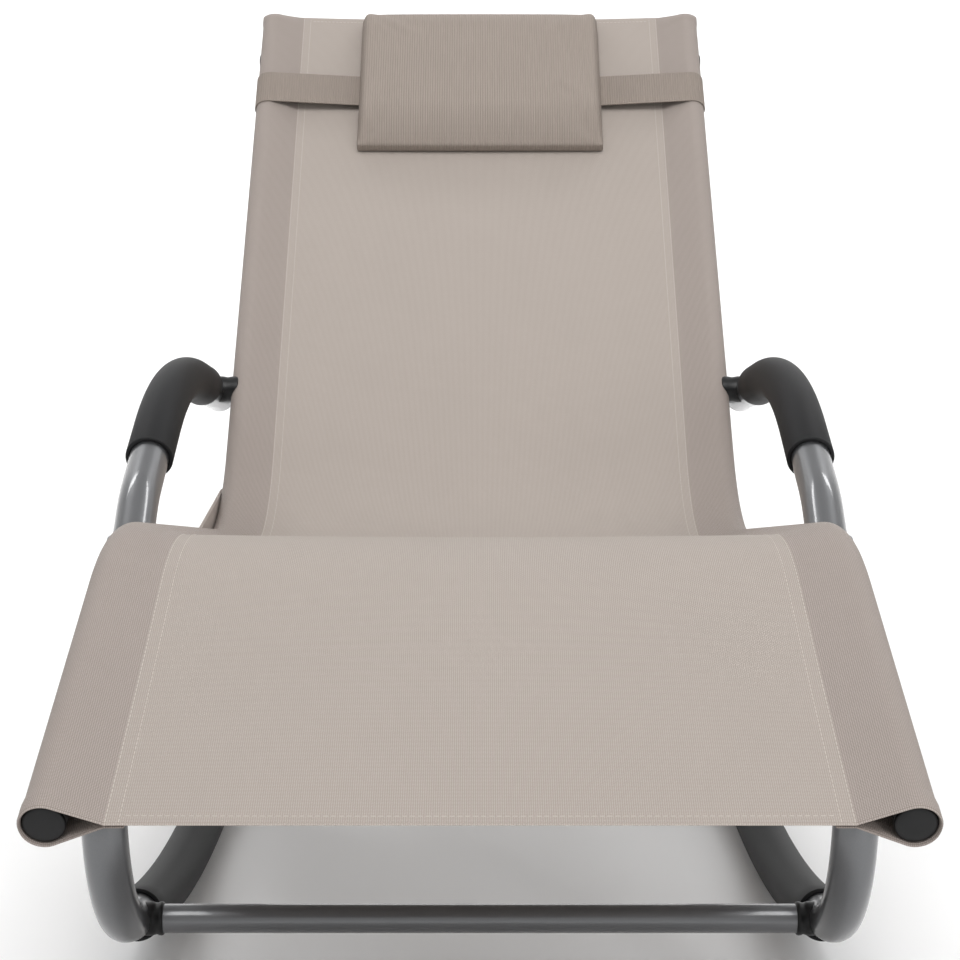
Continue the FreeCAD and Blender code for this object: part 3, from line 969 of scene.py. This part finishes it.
def sewn(name, places):
    """A row of stitches at the given places, each with its heading and the cloth's normal."""
    shape, shape_faces = stitch_shape()
    vertices = []
    faces = []
    for at, heading, up in places:
        turn = np.array([heading.cross(up), heading, up])
        base = len(vertices)
        vertices.extend((shape @ turn + np.array(at)).tolist())
        faces.extend([tuple(base + corner for corner in face) for face in shape_faces])
    mesh = bpy.data.meshes.new(name)
    mesh.from_pydata(vertices, [], faces)
    stitches = bpy.data.objects.new(name, mesh)
    bpy.context.collection.objects.link(stitches)
    return dress(stitches, "thread", "frame", "sling_mesh")


# Pillow, strap and pocket


def back_frame():
    """Directions down the back and up from its sheet."""
    return -along(BACK_RISE), along(BACK_RISE + 90)


def on_back(x, down_by, up_by):
    """A point from its place across, down the back from the rails' end, and up from the rails' plane."""
    down, up = back_frame()
    return HEAD_END + Vector((x, 0, 0)) + down * down_by + up * up_by


def pillow_front(x, down_by):
    """Height of the pillow's face above the sheet: full in the middle, rolled down at its edges."""
    border = TOP_BORDER + (PILLOW_BORDER - TOP_BORDER) * min(1.0, (down_by - PILLOW_TOP) / BORDER_GROWS)
    side = rounded((PILLOW_WIDTH / 2 - abs(x)) / SIDE_ROLL)
    top = rounded((down_by - PILLOW_TOP) / TOP_ROLL)
    low = 1 - (1 - min(1.0, (PILLOW_TOP + PILLOW_HEIGHT - down_by) / LOW_ROLL)) ** 2
    return border + (PILLOW_FULL - border) * side * top * low


def pillow_form():
    """The pillow as sewn: face and back panels with a narrow border between their seams."""
    stations = np.linspace(-1, 1, 61)
    spread = 0.6 * stations + 0.4 * np.sin(math.pi / 2 * stations)
    across_by = spread * PILLOW_WIDTH / 2
    down_by = PILLOW_TOP + (spread + 1) / 2 * PILLOW_HEIGHT
    rows, columns = len(down_by), len(across_by)
    face = [on_back(x, d, pillow_front(x, d)) for d in down_by for x in across_by]
    back = [on_back(x, d, PILLOW_BACK) for d in down_by for x in across_by]
    faces = []
    for r in range(rows - 1):
        for c in range(columns - 1):
            a = r * columns + c
            quad = (a, a + 1, a + columns + 1, a + columns)
            faces.append(quad[::-1])
            faces.append(tuple(len(face) + corner for corner in quad))
    rim = list(range(columns)) + [r * columns + columns - 1 for r in range(1, rows)]
    rim += [(rows - 1) * columns + c for c in range(columns - 2, -1, -1)]
    rim += [r * columns for r in range(rows - 2, 0, -1)]
    centre = on_back(0, PILLOW_TOP + PILLOW_HEIGHT / 2, TOP_BORDER)
    border = []
    for corner in rim:
        middle = (face[corner] + back[corner]) / 2
        border.append(middle + (middle - centre).normalized() * BORDER_SWELL)
    vertices = face + back + border
    first = len(face) + len(back)
    for index, corner in enumerate(rim):
        after = (index + 1) % len(rim)
        faces.append((corner, rim[after], first + after, first + index))
        faces.append((first + index, first + after, len(face) + rim[after], len(face) + corner))
    mesh = bpy.data.meshes.new("pillow_cushion")
    mesh.from_pydata(vertices, [], faces)
    form = bpy.data.objects.new("pillow_cushion", mesh)
    bpy.context.collection.objects.link(form)
    faces_out(form)
    return form


def seam_corners(form):
    """Corners of the pillow's mesh on its seams and border."""
    down = back_frame()[0]
    corners = []
    for vertex in form.data.vertices:
        place = vertex.co - HEAD_END
        inward = min(PILLOW_WIDTH / 2 - abs(place.x), place.dot(down) - PILLOW_TOP,
                     PILLOW_TOP + PILLOW_HEIGHT - place.dot(down))
        if inward < 0.0004:
            corners.append(vertex.index)
    return corners


def make_pillow():
    """The sewn form, swollen by a share of the simulation, clear of the sling and creased at its seam."""
    pillow = pillow_form()
    up = back_frame()[1]
    still = [vertex.co.copy() for vertex in pillow.data.vertices]
    seam = seam_corners(pillow)
    swell(pillow, seam)
    for vertex, first in zip(pillow.data.vertices, still):
        shift = (vertex.co - first) * SWELL_SHARE
        if shift.length > SWELL_CAP:
            shift *= SWELL_CAP / shift.length
        place = first + shift
        lift = (place - HEAD_END).dot(up)
        if lift < BACK_CLEAR:
            place += up * (BACK_CLEAR - lift)
        vertex.co = place
    face_seam = {corner for corner in seam if (still[corner] - HEAD_END).dot(up) >= FACE_SEAM_UP}
    crease = pillow.data.attributes.new("crease_edge", "FLOAT", "EDGE")
    for edge in pillow.data.edges:
        if set(edge.vertices) <= face_seam:
            crease.data[edge.index].value = SEAM_CREASE
    finer = pillow.modifiers.new("finer", "SUBSURF")
    finer.levels = 1
    finer.render_levels = 1
    apply_modifiers(pillow)
    smooth(pillow, 50)
    dress(pillow, "pillow", "pillow", "pillow_cloth", "pillow")


def swell(form, seam):
    """Fills the sewn form: a cloth simulation under pressure, without weight, held at its seams."""
    pick(form)
    group = form.vertex_groups.new(name="seam")
    group.add(seam, 1.0, "REPLACE")
    cloth = form.modifiers.new("filling", "CLOTH")
    settings = cloth.settings
    settings.vertex_group_mass = "seam"
    settings.quality = 6
    settings.use_pressure = True
    settings.uniform_pressure_force = 4.0
    settings.effector_weights.gravity = 0.0
    settings.tension_stiffness = 25
    settings.compression_stiffness = 25
    settings.bending_stiffness = 2.0
    cloth.point_cache.frame_start = 1
    cloth.point_cache.frame_end = SWELL_FRAMES
    scene = bpy.context.scene
    for number in range(1, SWELL_FRAMES + 1):
        scene.frame_set(number)
    apply_modifiers(form)
    scene.frame_set(1)
    form.vertex_groups.clear()


def strap_section():
    """The strap's line from the pillow's left seam round the rail to the middle of the back."""
    edge_x, edge_up = STRAP_START
    reach = math.hypot(RAIL_X - edge_x, edge_up)
    turn = math.atan2(edge_up, edge_x - RAIL_X) - math.acos(STRAP_RADIUS / reach)
    ring = [(RAIL_X + STRAP_RADIUS * math.cos(angle), STRAP_RADIUS * math.sin(angle))
            for angle in np.linspace(turn, -math.pi / 2, 24)]
    behind = [(x, -STRAP_RADIUS) for x in np.linspace(RAIL_X, 0.0, 20)[1:]]
    return between(STRAP_START, ring[0], np.linspace(0, 1, 14)) + ring[1:] + behind


def make_strap():
    """A closed band: from one side of the pillow round the back to the other."""
    half = strap_section()
    line = half + [(-x, up) for x, up in reversed(half[:-1])]
    steps = [math.dist(a, b) for a, b in zip(line, line[1:])]
    runs = [0.0, *np.cumsum(steps)]
    shares = np.linspace(0, 1, 9)
    rows = [[on_back(x, STRAP_LOW - share * STRAP_WIDTH, height) for x, height in line] for share in shares]
    strap = grid_mesh("strap_band", rows, runs, list(shares * STRAP_WIDTH))
    made_cloth(strap, STRAP_CLOTH)
    dress(strap, "strap", "pillow", "pillow_cloth", "pillow_strap")


def make_pocket():
    """A flat bag: its back lies against the sleeve, its face is taut at the rim and full lower down."""
    lower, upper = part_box("side_pocket")
    back_x = upper.x - 0.0008
    width = upper.y - lower.y
    depth = upper.z - lower.z
    shares = np.linspace(0, 1, 31)
    levels = [*np.linspace(0.0, POCKET_CLOSE, 7)[:-1], *np.linspace(POCKET_CLOSE, 0.985, 26)]
    rim = [(1.0, 0.0), (0.999, 0.001), (1.0 - RIM_FOLD / depth, 0.001)]
    rows = []
    for level, inset in [(level, 0.0) for level in levels] + rim:
        closing = rounded(level / POCKET_CLOSE)
        fullness = min(1.0, max(0.0, (0.995 - level) / 0.26)) ** 0.8
        belly = 0.55 + 0.45 * math.sin(math.pi * min(1, level + 0.2))
        face = []
        for share in shares:
            taut = POCKET_TAUT * rounded(min(share, 1 - share) / 0.04)
            full = POCKET_FULL * math.sin(math.pi * share) ** 0.75 * belly
            out = closing * (taut + (full - taut) * fullness) + 0.0006
            rise = lower.z + level * (depth + POCKET_RISE * (1 - share))
            face.append(Vector((back_x - out + inset * 0.5, upper.y - width * share, rise)))
        back = [Vector((back_x - inset * 0.5, point.y, point.z)) for point in reversed(face[1:-1])]
        rows.append(face + back)
    around = [share * width for share in shares] + [width * (2 - share) for share in reversed(shares[1:-1])]
    lengths = [(point[0].z - lower.z) for point in rows]
    pocket = grid_mesh("pocket_bag", rows, around, lengths, closed=True)
    made_cloth(pocket, POCKET_CLOTH)
    dress(pocket, "pocket", "frame", "sling_mesh", "side_pocket")
    places = []
    hem = min(range(len(levels)), key=lambda row: abs(levels[row] - (1 - RIM_ROW / depth)))
    line = rows[hem][:len(shares)]
    for a, b in zip(line[1:-2], line[2:-1]):
        heading = (b - a).normalized()
        outward = Vector((0, 0, 1)).cross(heading)
        for share in (0.25, 0.75):
            places.append((a + (b - a) * share + outward * POCKET_CLOTH / 2, heading, outward))
    stitches = sewn("pocket_stitching", places)


# Plastic and fixings


def turned(name, profile, sides=40):
    """A shape turned about +Z from (height, radius) pairs: a disc drawn out and sized step by step."""
    clear_selection()
    height, radius = profile[0]
    bpy.ops.mesh.primitive_circle_add(vertices=sides, radius=radius, location=(0, 0, height),
                                      fill_type="NGON")
    piece = settle(bpy.context.object)
    piece.name = name
    piece.data.name = name
    bpy.ops.object.mode_set(mode="EDIT")
    bpy.ops.mesh.select_all(action="SELECT")
    for (h0, r0), (h1, r1) in zip(profile, profile[1:]):
        bpy.ops.mesh.extrude_region_move(TRANSFORM_OT_translate={"value": (0, 0, h1 - h0)})
        bpy.ops.transform.resize(value=(r1 / r0, r1 / r0, 1), center_override=(0, 0, h1))
    bpy.ops.object.mode_set(mode="OBJECT")
    return faces_out(piece)


def cut_away(piece, cutter):
    """Takes the cutter's shape out of the piece."""
    cut = piece.modifiers.new("cut", "BOOLEAN")
    cut.operation = "DIFFERENCE"
    cut.solver = "EXACT"
    cut.object = cutter
    apply_modifiers(piece)
    bpy.data.objects.remove(cutter)
    return piece


def hollow(piece, point, heading, radius):
    """A round bore across the piece."""
    clear_selection()
    turn = heading.to_track_quat("Z", "Y").to_euler()
    bpy.ops.mesh.primitive_cylinder_add(vertices=64, radius=radius, depth=0.09, location=point, rotation=turn)
    return cut_away(piece, settle(bpy.context.object))


def stand(piece, point, heading):
    """Turns a piece made along +Z to the heading, with its origin at the point."""
    piece.location = point
    piece.rotation_euler = heading.to_track_quat("Z", "Y").to_euler()
    return smooth(settle(piece), 35)


def both_sides(pieces, name):
    """The pieces and their copies on the sitter's right, as one."""
    left = joined(pieces, name)
    return joined([left, mirrored(left, name + "_right")], name)


def button_bolt(length, seat):
    """A bolt with a button head: its skirt reaches down the tube's crown, its socket has six sides."""
    profile = [(-length, 0.0022), (0.0008 - length, BOLT_RADIUS), (-seat, BOLT_RADIUS), (-seat, BOLT_HEAD)]
    profile += [(0.0008, BOLT_HEAD), (0.0018, 0.0062), (0.0027, 0.0055), (0.0034, 0.0045), (0.0038, 0.0034)]
    bolt = turned("bolt", profile, 36)
    clear_selection()
    bpy.ops.mesh.primitive_cylinder_add(vertices=6, radius=SOCKET_RADIUS, depth=SOCKET_DEPTH,
                                        location=(0, 0, 0.0041))
    return cut_away(bolt, settle(bpy.context.object))


def make_bolts():
    groups = {
        "side_bolts": ("arm", "leg"),
        "riser_bolts": ("low_riser", "high_riser"),
        "cross_tube_bolts": CROSS_TUBES,
    }
    for node, names in groups.items():
        bolts = []
        for name in names:
            point, away, radius, gap = JOINTS[name]
            reach = RAIL_RADIUS + gap + 2 * radius
            seat = radius - math.sqrt(radius ** 2 - BOLT_HEAD ** 2)
            bolts.append(stand(button_bolt(reach - BOLT_TIP, seat), point + away * reach, away))
        dress(both_sides(bolts, node + "_set"), "zinc", "frame", "bolt_steel", node)
    bolts = []
    for seat, _ in RUNNER_SEATS:
        crown = seat + OUTWARD * LOOP_RADIUS
        bolts.append(stand(button_bolt(BAR_BOLT, 0.0013), crown, OUTWARD))
    dress(both_sides(bolts, "crossbar_bolts_set"), "zinc", "frame", "bolt_steel", "crossbar_bolts")


def tube_cap(end, heading, radius, wall):
    """A moulded cap: a plug in the tube's mouth under a domed flange."""
    bore = radius - wall - CAP_FIT
    profile = [(-CAP_PLUG, bore - 0.0006), (-0.010, bore), (-CAP_FIT, bore), (-CAP_FIT, radius)]
    profile += [(0.0012, radius), (0.0020, radius - 0.0004), (0.0026, radius - 0.0014)]
    profile += [(0.0029, radius - 0.003), (0.0030, radius * 0.35)]
    return stand(turned("cap", profile), end, heading)


def make_caps():
    side = Vector((RAIL_X, 0, 0))
    foot = tube_cap(FOOT_END + side, (FOOT_END - KNEE).normalized(), RAIL_RADIUS, WALL)
    upward = (HEAD_END - SEAT).normalized()
    head = tube_cap(HEAD_END + side - upward * HEAD_SHORT, upward, RAIL_RADIUS, WALL)
    dress(both_sides([foot, head], "rail_caps_set"), "plastic", "frame", "black_plastic", "rail_caps")
    tail = tube_cap(LOOP[0], (LOOP[0] - LOOP[1]).normalized(), LOOP_RADIUS, WALL)
    riser = tube_cap(LOOP[-1], (LOOP[-1] - LOOP[-2]).normalized(), LOOP_RADIUS, WALL)
    dress(both_sides([tail, riser], "loop_caps_set"), "plastic", "frame", "black_plastic", "loop_caps")
    ends = [tube_cap(cross_tube_end(name), OUTWARD, CROSS_RADIUS, CROSS_WALL) for name in CROSS_TUBES]
    dress(both_sides(ends, "cross_tube_caps_set"), "plastic", "frame", "black_plastic", "cross_tube_caps")


def joint_saddle(name, radius, heading):
    """A saddle between the covered rail and a tube: waisted, hollowed to both."""
    point, away, tube_radius, gap = JOINTS[name]
    start = RAIL_RADIUS * 0.5
    end = RAIL_RADIUS + gap + tube_radius * 0.5
    profile = [(start, radius - 0.0008), (start + 0.001, radius), (start + 0.006, radius)]
    profile += [((start + end) / 2, radius * 0.93), (end - 0.006, radius), (end - 0.001, radius)]
    profile += [(end, radius - 0.0008)]
    saddle = stand(turned("saddle", profile, 56), point, away)
    rail_line = {"foot": FOOT_END - KNEE, "knee": SEAT - KNEE, "leg": SEAT - KNEE}.get(name, HEAD_END - SEAT)
    hollow(saddle, point, rail_line, SLEEVE_RADIUS + CLOTH / 2 + 2 * SADDLE_FIT)
    hollow(saddle, joined_axis(name), heading, tube_radius + SADDLE_FIT)
    return smooth(saddle, 35)


def loop_heading(corner):
    """Heading of the loop's run from one of its corners to the next."""
    return (LOOP[corner + 1] - LOOP[corner]).normalized()


def make_saddles():
    groups = {
        "arm_saddles": [("arm", ARM_SADDLE, loop_heading(0))],
        "leg_saddles": [("leg", SMALL_SADDLE, loop_heading(2))],
        "riser_saddles": [(name, SMALL_SADDLE, loop_heading(6)) for name in ("low_riser", "high_riser")],
        "cross_tube_saddles": [(name, SMALL_SADDLE, OUTWARD) for name in CROSS_TUBES],
    }
    for node, saddles in groups.items():
        pieces = [joint_saddle(*saddle) for saddle in saddles]
        dress(both_sides(pieces, node + "_set"), "plastic", "frame", "black_plastic", node)
    ends = []
    for seat, heading in RUNNER_SEATS:
        lip = BAR_RADIUS + SADDLE_FIT
        profile = [(-0.025, 0.0088), (-0.024, 0.0096), (0.0, 0.0096), (0.0, lip), (-0.0024, lip)]
        profile += [(-0.0026, 0.0119), (-0.0020, 0.0127), (-0.0006, 0.0131), (0.0008, 0.0129)]
        profile += [(0.0028, 0.0121), (0.0050, 0.0126), (0.0064, 0.0131), (0.0140, 0.0131), (0.0149, 0.0124)]
        face = seat - OUTWARD * (LOOP_RADIUS + BAR_WEB)
        saddle = stand(turned("bar_saddle", profile, 56), face, OUTWARD)
        ends.append(smooth(hollow(saddle, seat, heading, LOOP_RADIUS + SADDLE_FIT), 35))
    dress(both_sides(ends, "crossbar_saddles_set"), "plastic", "frame", "black_plastic", "crossbar_saddles")


# Studio


def make_floor():
    """A pale floor that curves up into a backdrop behind the object."""
    clear_selection()
    bpy.ops.mesh.primitive_plane_add(size=1.0, location=(0, FLOOR_REAR - 6.0, 0))
    floor = bpy.context.object
    floor.scale = (18.0, 12.0, 1.0)
    settle(floor)
    floor.name = "studio_floor"
    floor.data.name = "studio_floor"
    for vertex in floor.data.vertices:
        vertex.select = vertex.co.y > FLOOR_REAR - 0.1
    for edge in floor.data.edges:
        edge.select = all(floor.data.vertices[corner].select for corner in edge.vertices)
    for face in floor.data.polygons:
        face.select = False
    bpy.ops.object.mode_set(mode="EDIT")
    bpy.ops.mesh.select_mode(type="EDGE")
    bpy.ops.mesh.extrude_edges_move(TRANSFORM_OT_translate={"value": (0, 0, BACKDROP)})
    bpy.ops.object.mode_set(mode="OBJECT")
    sweep = floor.modifiers.new("sweep", "BEVEL")
    sweep.width = SWEEP
    sweep.segments = 24
    sweep.limit_method = "ANGLE"
    apply_modifiers(floor)
    smooth(floor, 60)
    floor.data.materials.append(FINISHES["floor"])


def soft_light(name, place, target, size, power, size_y=None, spread=180):
    """A lamp with a square or oblong face; the spread of its beam is in degrees."""
    data = bpy.data.lights.new(name, "AREA")
    data.energy = power
    data.spread = math.radians(spread)
    data.shape = "RECTANGLE"
    data.size = size
    data.size_y = size_y or size
    lamp = bpy.data.objects.new(name, data)
    lamp.location = place
    lamp.rotation_euler = (Vector(target) - Vector(place)).to_track_quat("-Z", "Y").to_euler()
    bpy.context.collection.objects.link(lamp)


def make_studio():
    make_floor()
    world = bpy.data.worlds.new("studio")
    bpy.context.scene.world = world
    world.use_nodes = True
    sky = world.node_tree.nodes["Background"]
    sky.inputs["Color"].default_value = (1, 1, 1, 1)
    sky.inputs["Strength"].default_value = 0.66
    soft_light("key_light", (0, -2.0, 3.4), CHAIR_MIDDLE, 2.0, 80)
    soft_light("back_rest_light", (0, -2.0, 3.0), (0, 0.45, 0.57), 1.0, 1.0, spread=36)
    soft_light("strip_light", (1.4, -2.0, 1.2), CHAIR_MIDDLE, 0.05, 9, size_y=1.6)
    soft_light("left_wash", (-1.8, 1.9, 3.2), (-1.2, 4.0, 0.9), 1.2, 44)
    soft_light("right_wash", (1.8, 1.9, 3.2), (1.2, 4.0, 0.9), 1.2, 44)
    view = bpy.context.scene.view_settings
    view.view_transform = "Standard"
    view.look = "None"


def make_camera():
    """The camera of the photo, as fitted to the chair's outline in it."""
    lens = bpy.data.cameras.new("camera")
    lens.lens = 78.75
    lens.sensor_width = 36.0
    camera = bpy.data.objects.new("camera", lens)
    camera.location = (0.0, -1.83535, 0.690)
    camera.rotation_euler = (math.radians(80), 0, 0)
    bpy.context.collection.objects.link(camera)
    bpy.context.scene.camera = camera


make_loops()
make_rails()
make_bars()
make_foam()
make_sling()
make_pillow()
make_strap()
make_pocket()
make_bolts()
make_caps()
make_saddles()
make_studio()
make_camera()
